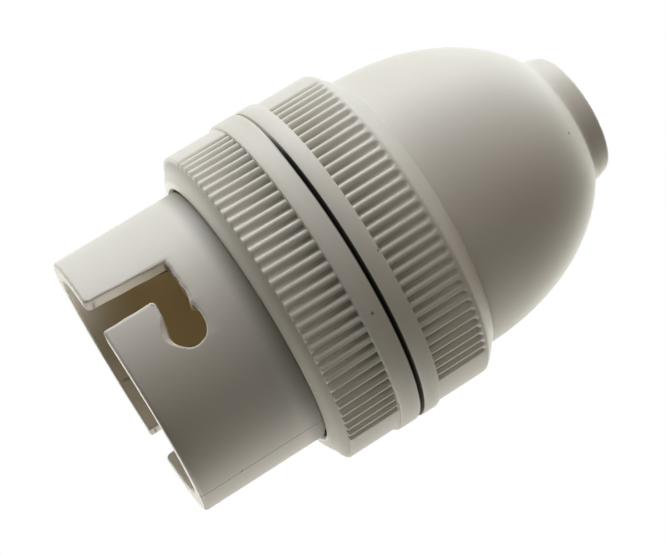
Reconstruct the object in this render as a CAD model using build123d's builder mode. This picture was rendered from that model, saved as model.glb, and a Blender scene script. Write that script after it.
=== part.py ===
from build123d import *
from math import cos, radians, sin
import os

# A bayonet lamp holder for a pendant cord: a slotted barrel that takes the lamp cap, a screwed ring
# that clamps a shade, and a domed cap that closes the wiring space above the terminal block.
# All sizes are in millimetres. The lamp enters from below: the mouth rim lies on Z = 0, its axis is Z,
# and the domed cap points up. Turns are in degrees about Z, counted from the front (-Y) towards +X.

os.makedirs("parts", exist_ok=True)

# Barrel
barrel_r = 13.75
barrel_wall = 2.15
mouth_bore_depth = 9.0
throat_step = 0.3
throat_depth = 3.8
ledge_width = 0.9
ledge_thickness = 1.0
interior_wall = 2.05
rim_round = 0.3
thread_relief_depth = 0.45
thread_relief_width = 0.8

# Bayonet slots, drawn on the flat face that the slot core leaves along its pull
slot_pull_turn = -19.0
slot_entry_x = -2.51
slot_entry_width = 2.97
slot_end_z = 8.12
slot_travel = 5.21
slot_nib_inset = 2.1
pin_seat_r = 1.67
pin_seat_stretch = 0.9
slot_corner_round = 0.35
tongue_round = 0.55
pin_turn = -7.5

# Shade ring
ring_mouth_z = 13.2
ring_lip = 1.02
ring_bead_height = 1.1
ring_grip_height = 5.27
ring_flange_height = 2.25
grip_wall = 2.97
flange_step = 0.3
flange_bevel = 0.2
thread_fit = 0.08

# Grip ribs, left out on the two plain zones at the sides
rib_pitch = 3.88
rib_depth = 0.38
rib_groove_width = 0.58
ring_groove_count = 31
ring_first_groove = -57.7
cap_groove_count = 30
cap_first_groove = -54.9

# Cap
shade_gap = 0.36
cap_flange_height = 1.89
cap_grip_height = 5.73
cap_lip_height = 0.35
cap_bevel_height = 1.7
cap_bevel_inset = 1.8
dome_inset = 0.14
dome_base_height = 0.3
dome_rise = 19.6
dome_power = 2.1
dome_wall = 2.0
cord_bore_r = 4.0
neck_wall = 2.85
neck_height = 1.75
neck_taper = 0.2
neck_foot_round = 0.95
neck_rim_round = 0.45
cap_seat_rise = 0.9
cap_seat_gap = 0.1

# Terminal block with its guide plate and cord hooks
block_slack = 0.15
block_flange_thickness = 1.6
block_flange_slack = 0.3
guide_plate_thickness = 1.5
plate_screw_r = 1.2
plate_screw_fit = 0.05
plate_screw_length = 7.0
plate_screw_head_r = 2.2
plate_screw_head_thickness = 1.2
plate_screw_slot_width = 0.6
plate_screw_slot_depth = 0.6
terminal_collar_wall = 1.15
terminal_collar_height = 1.0
hook_radius = 8.4
hook_width = 3.2
hook_thickness = 2.0
hook_height = 7.5
hook_lip = 1.1
hook_lip_height = 1.6

# Plungers, springs and terminals
contact_radius = 5.6
plunger_tip_z = 9.2
plunger_tip_r = 1.9
plunger_tip_round = 1.0
plunger_collar_r = 2.25
plunger_collar_thickness = 1.5
plunger_stem_r = 0.95
plunger_stem_length = 1.8
plunger_fit = 0.06
plunger_rest_gap = 0.1
spring_wire_r = 0.2
spring_r = 1.7
spring_turns = 4.5
spring_length = 6.0
terminal_r = 2.4
terminal_fit = 0.05
terminal_rise = 5.9
wire_hole_r = 1.3
wire_hole_depth = 5.4
screw_r = 1.4
screw_fit = 0.06
screw_drop = 2.5
screw_head_r = 1.8
screw_head_thickness = 1.2
screw_head_gap = 0.2
screw_tip_reach = 1.6
screw_slot_width = 0.6
screw_slot_depth = 0.7

# Heights that follow
ledge_z = mouth_bore_depth + throat_depth
guide_plate_z = ledge_z + ledge_thickness
pin_seat_z = slot_end_z - pin_seat_r
ring_grip_z = ring_mouth_z + ring_bead_height
ring_flange_z = ring_grip_z + ring_grip_height
ring_top_z = ring_flange_z + ring_flange_height
cap_flange_z = ring_top_z + shade_gap
cap_grip_z = cap_flange_z + cap_flange_height
cap_bevel_z = cap_grip_z + cap_grip_height
dome_foot_z = cap_bevel_z + cap_bevel_height
dome_base_z = dome_foot_z + dome_base_height
cap_seat_z = cap_bevel_z + cap_seat_rise
block_top_z = cap_seat_z - cap_seat_gap
barrel_height = block_top_z - block_flange_thickness
block_z = guide_plate_z + guide_plate_thickness
plunger_collar_z = block_z + plunger_rest_gap
spring_z = plunger_collar_z + plunger_collar_thickness
terminal_z = spring_z + spring_length
terminal_top_z = block_top_z + terminal_rise
screw_z = terminal_top_z - screw_drop

# Radii and turns that follow
mouth_bore_r = barrel_r - barrel_wall
throat_r = mouth_bore_r - throat_step
ledge_r = throat_r - ledge_width
interior_bore_r = barrel_r - interior_wall
threaded_bore_r = barrel_r + thread_fit
ring_mouth_r = threaded_bore_r + ring_lip
grip_r = threaded_bore_r + grip_wall
flange_r = grip_r + flange_step
cap_bevel_top_r = grip_r - cap_bevel_inset
dome_base_r = cap_bevel_top_r - dome_inset
dome_inside_r = dome_base_r - dome_wall
neck_r = cord_bore_r + neck_wall
neck_foot_r = neck_r + neck_foot_round
neck_top_r = neck_r - neck_taper
pin_seat_x = slot_entry_x + slot_travel
slot_arm_end_x = pin_seat_x - slot_nib_inset
contact_turns = {"a": pin_turn + 90, "b": pin_turn - 90}
plunger_bore_r = plunger_collar_r + plunger_fit
slot_reach = 2 * (barrel_r - ledge_r)


def outward(turn):
    """Return the level direction that points away from the axis at this turn."""
    return Vector(sin(radians(turn)), -cos(radians(turn)), 0)


def upright_plane(turn, radius=0.0):
    """Return an upright plane at this radius, with X outward and Y up."""
    out = outward(turn)
    return Plane(origin=out * radius, x_dir=out, z_dir=out.cross(Vector(0, 0, 1)))


def facing_plane(turn, radius):
    """Return the plane that touches a cylinder of this radius, with X round it and Y up."""
    out = outward(turn)
    return Plane(origin=out * radius, x_dir=Vector(0, 0, 1).cross(out), z_dir=out)


def level_plane(turn, radius, height):
    """Return a level plane centred at this turn, radius and height, with X outward."""
    out = outward(turn)
    return Plane(origin=out * radius + Vector(0, 0, height), x_dir=out, z_dir=(0, 0, 1))


def dome_points(base_r, rise, end_r, count=7):
    """Return points up a dome's side from its base to the radius where its neck starts."""
    points = []
    for step in range(count):
        radius = base_r - (base_r - end_r) * (1 - cos(radians(90 * step / (count - 1))))
        height = rise * (1 - (radius / base_r) ** dome_power) ** (1 / dome_power)
        points.append((radius, dome_base_z + height))
    return points


def groove_locations(count, first_turn):
    """Return the places of one side's rib grooves on the grip radius."""
    return PolarLocations(grip_r, count, first_turn - 90, rib_pitch * (count - 1), endpoint=True)


# Barrel: a stepped tube with a ledge for the guide plate and two bayonet slots
with BuildPart() as barrel:
    with BuildSketch(Plane.XZ):
        with BuildLine():
            Polyline(
                (mouth_bore_r, 0),
                (barrel_r, 0),
                (barrel_r, ring_mouth_z),
                (barrel_r - thread_relief_depth, ring_mouth_z),
                (barrel_r - thread_relief_depth, ring_mouth_z + thread_relief_width),
                (barrel_r, ring_mouth_z + thread_relief_width),
                (barrel_r, barrel_height),
                (interior_bore_r, barrel_height),
                (interior_bore_r, guide_plate_z),
                (ledge_r, guide_plate_z),
                (ledge_r, ledge_z),
                (throat_r, ledge_z),
                (throat_r, mouth_bore_depth),
                (mouth_bore_r, mouth_bore_depth),
                close=True,
            )
        barrel_section = make_face()
        fillet(barrel_section.vertices().group_by(Axis.Y)[0], rim_round)
    revolve(axis=Axis.Z)
    for side_turn in (0, 180):
        with BuildSketch(facing_plane(slot_pull_turn + side_turn, barrel_r + rim_round)) as bayonet_slot:
            seat_floor_z = pin_seat_z - pin_seat_r
            arm_start_x = slot_entry_x - slot_entry_width / 2
            with Locations((arm_start_x, -rim_round)):
                Rectangle(slot_entry_width, slot_end_z + rim_round, align=Align.MIN)
            with Locations((arm_start_x, seat_floor_z)):
                Rectangle(slot_arm_end_x - arm_start_x, slot_end_z - seat_floor_z, align=Align.MIN)
            with Locations((slot_arm_end_x, seat_floor_z)):
                Rectangle(pin_seat_x - slot_arm_end_x, pin_seat_r, align=Align.MIN)
            with Locations((pin_seat_x - pin_seat_stretch / 2, pin_seat_z)):
                SlotCenterToCenter(pin_seat_stretch, 2 * pin_seat_r)
            end_corner = bayonet_slot.vertices().sort_by_distance((arm_start_x, slot_end_z))[0]
            fillet(end_corner, slot_corner_round)
            tongue_x = arm_start_x + slot_entry_width
            tongue_corner = bayonet_slot.vertices().sort_by_distance((tongue_x, seat_floor_z))[0]
            fillet(tongue_corner, tongue_round)
        extrude(amount=-slot_reach, mode=Mode.SUBTRACT)
barrel.part.label = "barrel"
export_step(barrel.part, "parts/barrel.step")

# Shade ring: a beaded lip, a ribbed grip and a flange that bears on the shade
with BuildPart() as shade_ring:
    with BuildSketch(Plane.XZ):
        with BuildLine():
            EllipticalCenterArc(
                (ring_mouth_r, ring_grip_z),
                grip_r - ring_mouth_r,
                ring_bead_height,
                start_angle=270,
                arc_size=90,
            )
            Polyline(
                (grip_r, ring_grip_z),
                (grip_r, ring_flange_z),
                (flange_r, ring_flange_z),
                (flange_r, ring_top_z),
                (threaded_bore_r, ring_top_z),
                (threaded_bore_r, ring_mouth_z),
                (ring_mouth_r, ring_mouth_z),
            )
        ring_section = make_face()
        chamfer(ring_section.vertices().group_by(Axis.X)[-1], flange_bevel)
    revolve(axis=Axis.Z)
    with BuildSketch(Plane.XY.offset(ring_grip_z)):
        for side_turn in (0, 180):
            with groove_locations(ring_groove_count, ring_first_groove + side_turn):
                Polygon(
                    (-rib_depth, 0),
                    (rib_depth / 4, rib_groove_width / 2),
                    (rib_depth / 4, -rib_groove_width / 2),
                    align=None,
                )
    extrude(amount=ring_grip_height, mode=Mode.SUBTRACT)
shade_ring.part.label = "shade_ring"
export_step(shade_ring.part, "parts/shade_ring.step")

# Cap: a flange and a ribbed grip under a hollow dome with the cord neck
with BuildPart() as cap:
    with BuildSketch(Plane.XZ):
        with BuildLine():
            outside = dome_points(dome_base_r, dome_rise, neck_foot_r)
            inside = dome_points(dome_inside_r, dome_rise - dome_wall, cord_bore_r)
            neck_z = outside[-1][1] + neck_foot_round
            neck_rim_z = neck_z + neck_height
            Polyline(
                (threaded_bore_r, cap_seat_z),
                (threaded_bore_r, cap_flange_z),
                (flange_r, cap_flange_z),
                (flange_r, cap_grip_z),
                (grip_r, cap_grip_z),
                (grip_r, cap_bevel_z),
                (cap_bevel_top_r, dome_foot_z),
                (dome_base_r, dome_foot_z),
                outside[0],
            )
            Spline(*outside)
            RadiusArc(outside[-1], (neck_r, neck_z), 1.1 * neck_foot_round)
            Line((neck_r, neck_z), (neck_top_r, neck_rim_z - neck_rim_round))
            RadiusArc(
                (neck_top_r, neck_rim_z - neck_rim_round),
                (neck_top_r - neck_rim_round, neck_rim_z),
                -neck_rim_round,
            )
            Polyline(
                (neck_top_r - neck_rim_round, neck_rim_z),
                (cord_bore_r, neck_rim_z),
                inside[-1],
            )
            Spline(*inside)
            Polyline(
                inside[0],
                (dome_inside_r, cap_seat_z),
                (threaded_bore_r, cap_seat_z),
            )
        cap_section = make_face()
        chamfer(cap_section.vertices().group_by(Axis.X)[-1], flange_bevel)
    revolve(axis=Axis.Z)
    with BuildSketch(Plane.XY.offset(cap_grip_z)):
        for side_turn in (0, 180):
            with groove_locations(cap_groove_count, cap_first_groove + side_turn):
                Polygon(
                    (-rib_depth, 0),
                    (rib_depth / 4, rib_groove_width / 2),
                    (rib_depth / 4, -rib_groove_width / 2),
                    align=None,
                )
    extrude(amount=cap_grip_height - cap_lip_height, mode=Mode.SUBTRACT)
cap.part.label = "cap"
export_step(cap.part, "parts/cap.step")

# Guide plate: a disc on the ledge with a hole for each plunger
with BuildPart() as guide_plate:
    with BuildSketch(Plane.XY.offset(guide_plate_z)):
        Circle(interior_bore_r - block_slack)
        for turn in contact_turns.values():
            with Locations(outward(turn) * contact_radius):
                Circle(plunger_tip_r + plunger_fit, mode=Mode.SUBTRACT)
        Circle(plate_screw_r + plate_screw_fit, mode=Mode.SUBTRACT)
    extrude(amount=guide_plate_thickness)
guide_plate.part.label = "guide_plate"
export_step(guide_plate.part, "parts/guide_plate.step")

# Plate screw: a slotted round-head screw that holds the guide plate to the block
with BuildPart() as plate_screw:
    with BuildSketch(Plane.XY.offset(guide_plate_z - plate_screw_head_thickness)):
        Circle(plate_screw_head_r)
    extrude(amount=plate_screw_head_thickness)
    chamfer(plate_screw.edges().group_by(Axis.Z)[0], plate_screw_head_thickness / 3)
    with BuildSketch(Plane.XY.offset(guide_plate_z)):
        Circle(plate_screw_r)
    extrude(amount=plate_screw_length)
    with BuildSketch(Plane.XY.offset(guide_plate_z - plate_screw_head_thickness)):
        Rectangle(2 * plate_screw_head_r, plate_screw_slot_width)
    extrude(amount=plate_screw_slot_depth, mode=Mode.SUBTRACT)
plate_screw.part.label = "plate_screw"
export_step(plate_screw.part, "parts/plate_screw.step")

# Terminal block: it fills the barrel above the plate, hangs on the barrel's top by its flange and
# carries the terminals in collars and two hooks that the cord's cores loop round
with BuildPart() as terminal_block:
    with BuildSketch(Plane.XY.offset(block_z)):
        Circle(interior_bore_r - block_slack)
    extrude(amount=block_top_z - block_z)
    with BuildSketch(Plane.XY.offset(barrel_height)):
        Circle(threaded_bore_r - block_flange_slack)
    extrude(amount=block_flange_thickness)
    with BuildSketch(Plane.XY.offset(block_z)):
        Circle(plate_screw_r + plate_screw_fit)
    extrude(amount=plate_screw_length, mode=Mode.SUBTRACT)
    for turn in contact_turns.values():
        with BuildSketch(level_plane(turn, contact_radius, block_top_z)):
            Circle(terminal_r + terminal_fit + terminal_collar_wall)
        extrude(amount=terminal_collar_height)
        with BuildSketch(level_plane(turn, contact_radius, block_z)):
            Circle(plunger_bore_r)
        extrude(amount=terminal_z - block_z, mode=Mode.SUBTRACT)
        with BuildSketch(level_plane(turn, contact_radius, terminal_z)):
            Circle(terminal_r + terminal_fit)
        extrude(amount=terminal_rise + block_top_z - terminal_z, mode=Mode.SUBTRACT)
    for side_turn in (0, 180):
        with BuildSketch(upright_plane(pin_turn + side_turn, hook_radius)):
            with BuildLine():
                Polyline(
                    (-hook_thickness / 2, block_top_z),
                    (hook_thickness / 2, block_top_z),
                    (hook_thickness / 2, block_top_z + hook_height),
                    (-hook_thickness / 2, block_top_z + hook_height),
                    (-hook_thickness / 2 - hook_lip, block_top_z + hook_height - hook_lip_height / 2),
                    (-hook_thickness / 2, block_top_z + hook_height - hook_lip_height),
                    close=True,
                )
            make_face()
        extrude(amount=hook_width / 2, both=True)
terminal_block.part.label = "terminal_block"
export_step(terminal_block.part, "parts/terminal_block.step")

# Each contact: a plunger on its spring, under a terminal post with its clamp screw
for side, turn in contact_turns.items():
    contact_axis = Axis(outward(turn) * contact_radius, (0, 0, 1))
    contact_section = upright_plane(turn, contact_radius)

    with BuildPart() as plunger:
        with BuildSketch(contact_section):
            with BuildLine():
                Polyline(
                    (0, plunger_tip_z),
                    (plunger_tip_r, plunger_tip_z),
                    (plunger_tip_r, plunger_collar_z),
                    (plunger_collar_r, plunger_collar_z),
                    (plunger_collar_r, spring_z),
                    (plunger_stem_r, spring_z),
                    (plunger_stem_r, spring_z + plunger_stem_length),
                    (0, spring_z + plunger_stem_length),
                    close=True,
                )
            plunger_section = make_face()
            tip_corner = plunger_section.vertices().sort_by_distance((plunger_tip_r, plunger_tip_z))[0]
            fillet(tip_corner, plunger_tip_round)
        revolve(axis=contact_axis)
    plunger.part.label = f"plunger_{side}"
    export_step(plunger.part, f"parts/plunger_{side}.step")

    with BuildPart() as spring:
        coil_height = spring_length - 2 * spring_wire_r
        coil_start_z = spring_z + spring_wire_r
        with BuildLine(level_plane(turn, contact_radius, coil_start_z)):
            coil = Helix(coil_height / spring_turns, coil_height, spring_r)
        with BuildSketch(Plane(origin=coil @ 0, z_dir=coil % 0)):
            RegularPolygon(spring_wire_r, 6)
        sweep(path=coil, is_frenet=True)
    spring.part.label = f"spring_{side}"
    export_step(spring.part, f"parts/spring_{side}.step")

    with BuildPart() as terminal:
        with BuildSketch(level_plane(turn, contact_radius, terminal_z)):
            Circle(terminal_r)
        extrude(amount=terminal_top_z - terminal_z)
        with BuildSketch(level_plane(turn, contact_radius, terminal_top_z)):
            Circle(wire_hole_r)
        extrude(amount=-wire_hole_depth, mode=Mode.SUBTRACT)
        with BuildSketch(facing_plane(turn, contact_radius)):
            with Locations((0, screw_z)):
                Circle(screw_r + screw_fit)
        extrude(amount=2 * terminal_r, mode=Mode.SUBTRACT)
    terminal.part.label = f"terminal_{side}"
    export_step(terminal.part, f"parts/terminal_{side}.step")

    with BuildPart() as terminal_screw:
        head_radius = contact_radius + terminal_r + screw_head_gap
        with BuildSketch(facing_plane(turn, head_radius)):
            with Locations((0, screw_z)):
                Circle(screw_head_r)
        extrude(amount=screw_head_thickness)
        with BuildSketch(facing_plane(turn, head_radius)):
            with Locations((0, screw_z)):
                Circle(screw_r)
        extrude(amount=-(screw_head_gap + screw_tip_reach))
        with BuildSketch(facing_plane(turn, head_radius + screw_head_thickness)):
            with Locations((0, screw_z)):
                Rectangle(2 * screw_head_r, screw_slot_width)
        extrude(amount=-screw_slot_depth, mode=Mode.SUBTRACT)
    terminal_screw.part.label = f"terminal_screw_{side}"
    export_step(terminal_screw.part, f"parts/terminal_screw_{side}.step")
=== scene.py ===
"""A moulded bayonet lamp holder for a pendant cord, dressed and lit in a small white studio.

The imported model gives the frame. The three mouldings that show are modelled again with fine ribs,
rounded slot edges and screw threads; the parts inside the barrel are smoothed copies of the frame's.
"""
import logging
import math
from dataclasses import dataclass, field
from enum import Enum
from typing import Callable, Sequence

import bpy
import numpy as np
from mathutils import Matrix, Vector


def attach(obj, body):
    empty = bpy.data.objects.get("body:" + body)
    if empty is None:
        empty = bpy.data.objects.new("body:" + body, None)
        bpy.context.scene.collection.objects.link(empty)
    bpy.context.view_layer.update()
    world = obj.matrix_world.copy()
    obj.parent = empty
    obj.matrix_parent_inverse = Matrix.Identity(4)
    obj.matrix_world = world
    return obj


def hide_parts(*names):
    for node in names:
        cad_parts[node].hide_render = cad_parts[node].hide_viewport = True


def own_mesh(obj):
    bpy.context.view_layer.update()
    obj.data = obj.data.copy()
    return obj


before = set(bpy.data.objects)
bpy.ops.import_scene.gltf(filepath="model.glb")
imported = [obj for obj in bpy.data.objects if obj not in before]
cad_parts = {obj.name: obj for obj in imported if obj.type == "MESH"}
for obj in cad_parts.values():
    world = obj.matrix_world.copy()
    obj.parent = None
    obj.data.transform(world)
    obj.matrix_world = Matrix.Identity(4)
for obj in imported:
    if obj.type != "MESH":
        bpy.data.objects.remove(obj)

LOG = logging.getLogger("lamp_holder")
MM = 0.001
TURN = 2 * math.pi
DUST = "#4E463A"
Outline = Sequence[tuple[float, float]]
Span = tuple[float, float]


def linear(hex_colour: str) -> tuple[float, float, float, float]:
    """Turn an sRGB hex colour into the linear colour that a shader socket takes.

    Args:
        hex_colour: Six hex digits after a hash.

    Returns:
        Linear red, green, blue and full alpha.
    """
    channels = [int(hex_colour[i:i + 2], 16) / 255 for i in (1, 3, 5)]
    return tuple(c / 12.92 if c <= 0.04045 else ((c + 0.055) / 1.055) ** 2.4 for c in channels) + (1.0,)


def smooth_step(low: float, high: float, value: np.ndarray) -> np.ndarray:
    """Rise gently from 0 to 1.

    Args:
        low: Where the rise starts.
        high: Where it ends.
        value: The places to work it out at.

    Returns:
        A share from 0 to 1 for each place.
    """
    share = np.clip((value - low) / (high - low), 0.0, 1.0)
    return share * share * (3 - 2 * share)


def arc(centre: Span, radii: Span, start: float, end: float, steps: int) -> list[tuple[float, float]]:
    """Draw a quarter or half round in a section.

    Args:
        centre: Its middle, across and up.
        radii: Its half width and half height, equal for a round one.
        start: Its first angle in degrees, counted from straight across.
        end: Its last angle.
        steps: How many steps it takes.

    Returns:
        Across and up of each point.
    """
    angles = [math.radians(start + (end - start) * step / steps) for step in range(steps + 1)]
    return [(centre[0] + radii[0] * math.cos(a), centre[1] + radii[1] * math.sin(a)) for a in angles]


def flange(radius: float, low: float, high: float, edge: float) -> list[tuple[float, float]]:
    """Draw a flange's section with its two rounded edges.

    Args:
        radius: The flange's outside.
        low: The height of its lower face.
        high: The height of its upper face.
        edge: How much its edges are rounded.

    Returns:
        Radius and height of each corner, from the lower face to the upper one.
    """
    ease = edge * 0.3
    return [
        (radius - edge, low), (radius - ease, low + ease), (radius, low + edge),
        (radius, high - edge), (radius - ease, high - ease), (radius - edge, high),
    ]


def rows_down(radius: float, high: float, low: float, rows: int) -> list[tuple[float, float]]:
    """Draw the rows of a wall that a thread is cut in.

    Args:
        radius: The wall's radius.
        high: Where the thread starts.
        low: Where it ends.
        rows: How many steps lie between.

    Returns:
        Radius and height of each row, from the top down.
    """
    return [(radius, high - (high - low) * row / rows) for row in range(rows + 1)]


class MeshBench:
    """The few hand tools that every moulding is made with."""

    @staticmethod
    def clear_selection() -> None:
        """Leave edit mode and deselect everything."""
        if bpy.context.mode != "OBJECT":
            bpy.ops.object.mode_set(mode="OBJECT")
        bpy.ops.object.select_all(action="DESELECT")

    @staticmethod
    def take(*pieces: bpy.types.Object) -> None:
        """Select these pieces alone, the first one active."""
        MeshBench.clear_selection()
        for piece in pieces:
            piece.select_set(True)
        bpy.context.view_layer.objects.active = pieces[0]

    @staticmethod
    def weld(reach: float) -> None:
        """Weld the active piece's corners within this reach in millimetres, and turn its faces outwards."""
        bpy.ops.object.mode_set(mode="EDIT")
        bpy.ops.mesh.select_all(action="SELECT")
        bpy.ops.mesh.remove_doubles(threshold=reach * MM)
        bpy.ops.mesh.normals_make_consistent(inside=False)
        bpy.ops.object.mode_set(mode="OBJECT")

    @staticmethod
    def drawn(corners: Outline) -> bpy.types.Object:
        """Draw a line in the XZ plane by extruding a point, and leave it selected in edit mode.

        Args:
            corners: Where the line goes, across and up, in millimetres.

        Returns:
            The object that holds the line.
        """
        MeshBench.clear_selection()
        bpy.ops.mesh.primitive_plane_add(size=MM, location=(0, 0, 0))
        piece = bpy.context.object
        bpy.ops.object.mode_set(mode="EDIT")
        bpy.ops.mesh.merge(type="CENTER")
        bpy.ops.transform.translate(value=(corners[0][0] * MM, 0, corners[0][1] * MM))
        for here, there in zip(corners, corners[1:]):
            move = ((there[0] - here[0]) * MM, 0, (there[1] - here[1]) * MM)
            bpy.ops.mesh.extrude_vertices_move(TRANSFORM_OT_translate={"value": move})
        bpy.ops.mesh.select_all(action="SELECT")
        bpy.ops.mesh.remove_doubles(threshold=MM / 1000)
        return piece

    @staticmethod
    def turned(
        name: str, outline: Outline, steps: int, closed: bool = True, sectors: int = 1
    ) -> bpy.types.Object:
        """Draw an outline and spin it round Z.

        Args:
            name: The new object's name.
            outline: Radius and height of each corner, in millimetres.
            steps: How many steps the full turn has.
            closed: Whether the outline returns to its first corner.
            sectors: How many equal sectors the turn is repeated from.

        Returns:
            The turned object, with its faces outwards when it is closed.
        """
        piece = MeshBench.drawn(list(outline) + ([outline[0]] if closed else []))
        piece.name = name
        bpy.ops.mesh.spin(steps=steps // sectors, angle=TURN / sectors, center=(0, 0, 0), axis=(0, 0, 1))
        bpy.ops.object.mode_set(mode="OBJECT")
        if sectors > 1:
            MeshBench.repeat_round(piece, sectors)
        MeshBench.weld(0.001)
        return piece

    @staticmethod
    def repeat_round(piece: bpy.types.Object, count: int) -> None:
        """Repeat a sector round Z until the turn is full.

        Args:
            piece: The sector.
            count: How many sectors make the turn.
        """
        guide = bpy.data.objects.new("sector_guide", None)
        bpy.context.scene.collection.objects.link(guide)
        guide.rotation_euler = (0, 0, TURN / count)
        bpy.context.view_layer.update()
        copies = piece.modifiers.new("sectors", "ARRAY")
        copies.use_relative_offset = False
        copies.use_object_offset = True
        copies.offset_object = guide
        copies.count = count
        bpy.ops.object.modifier_apply(modifier=copies.name)
        bpy.data.objects.remove(guide)

    @staticmethod
    def reshape(piece: bpy.types.Object, move: Callable[..., tuple]) -> None:
        """Move every point of a turned piece by its radius, turn and height.

        Args:
            piece: The object to reshape.
            move: Takes arrays of radius (mm), turn (degrees from the front) and height (mm), and
                returns the new radius, turn and height.
        """
        mesh = piece.data
        points = np.empty(len(mesh.vertices) * 3)
        mesh.vertices.foreach_get("co", points)
        points = points.reshape(-1, 3) / MM
        radius = np.hypot(points[:, 0], points[:, 1])
        turn = np.degrees(np.arctan2(points[:, 0], -points[:, 1]))
        radius, turn, height = move(radius, turn, points[:, 2])
        angle = np.radians(turn)
        moved = np.column_stack((radius * np.sin(angle), -radius * np.cos(angle), height)) * MM
        mesh.vertices.foreach_set("co", moved.ravel())
        mesh.update()

    @staticmethod
    def smooth(piece: bpy.types.Object, degrees: float = 35.0) -> None:
        """Shade a piece smooth.

        Args:
            piece: The object to shade.
            degrees: The edge angle up to which it looks smooth.
        """
        MeshBench.take(piece)
        bpy.ops.object.shade_smooth_by_angle(angle=math.radians(degrees))

    @staticmethod
    def join(pieces: Sequence[bpy.types.Object], name: str) -> bpy.types.Object:
        """Join pieces into the first one and weld what coincides.

        Args:
            pieces: The objects to join.
            name: The joined object's name.

        Returns:
            The joined object, with its faces outwards.
        """
        MeshBench.take(*pieces)
        if len(pieces) > 1:
            bpy.ops.object.join()
        joined = bpy.context.object
        joined.name = name
        MeshBench.weld(0.002)
        return joined


class NodeTree:
    """A node tree, with a single call that adds a node, sets it and links it."""

    def __init__(self, owner: bpy.types.Material | bpy.types.World) -> None:
        """Take up the owner's tree with the nodes that it starts with."""
        owner.use_nodes = True
        self.nodes = owner.node_tree.nodes
        self.links = owner.node_tree.links

    def add(self, kind: str, inputs: dict | None = None, **settings) -> bpy.types.Node:
        """Add a node.

        Args:
            kind: The node's Blender type.
            inputs: Socket name or number to a value, or to the output socket that feeds it.
            settings: The node's own properties.

        Returns:
            The new node.
        """
        node = self.nodes.new(kind)
        for key, value in settings.items():
            setattr(node, key, value)
        for key, value in (inputs or {}).items():
            if isinstance(value, bpy.types.NodeSocket):
                self.links.new(value, node.inputs[key])
            else:
                node.inputs[key].default_value = value
        return node


class NodeSheet(NodeTree):
    """One material's node tree."""

    def __init__(self, name: str) -> None:
        """Start a material with only its output and its Principled shader."""
        self.material = bpy.data.materials.new(name)
        super().__init__(self.material)
        self.shader = self.nodes["Principled BSDF"]


@dataclass(frozen=True)
class Speck:
    """A dark speck in the plastic: its turn in degrees, its radius, height and size in mm."""

    turn: float
    radius: float
    height: float
    size: float
    strength: float = 0.75
    fade: Span = (0.6, 1.3)

    def place(self) -> tuple[float, float, float]:
        """Return the speck's place in metres."""
        angle = math.radians(self.turn)
        return (self.radius * math.sin(angle) * MM, -self.radius * math.cos(angle) * MM, self.height * MM)


@dataclass(frozen=True)
class PaintedBoreShade:
    """Painted warm shade in a bore: a colour that stands in for the shade inside and for the light that
    bounces there and soaks through the wall.
    """

    colour: str = "#D6C6A0"
    outside: float = 12.2
    inside: float = 11.7
    skin: float = 13.6
    slot_end: float = 8.12
    wall_start: Span = (0.35, 0.2)
    mouth_fade: float = 6.5


@dataclass(frozen=True)
class PaintedShade:
    """Painted shade that darkens the plastic in corners, grooves and gaps, between two radii and between two
    heights in mm.

    Each pair gives where the painted shade is full and where it ends, so it can thin out either way.
    """

    strength: float
    radius: Span | None = None
    height: Span | None = None
    top: Span | None = None
    side: Span | None = None
    beyond: Span | None = None
    colour: str = "#4A4438"


@dataclass(frozen=True)
class Seam:
    """The dark line that the mould's parting leaves down one side, at a turn in degrees."""

    turn: float
    strength: float = 0.8
    width: float = 0.13
    below: float = 13.3
    skin: float = 13.5
    fade: Span = (0.4, 1.2)


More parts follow.
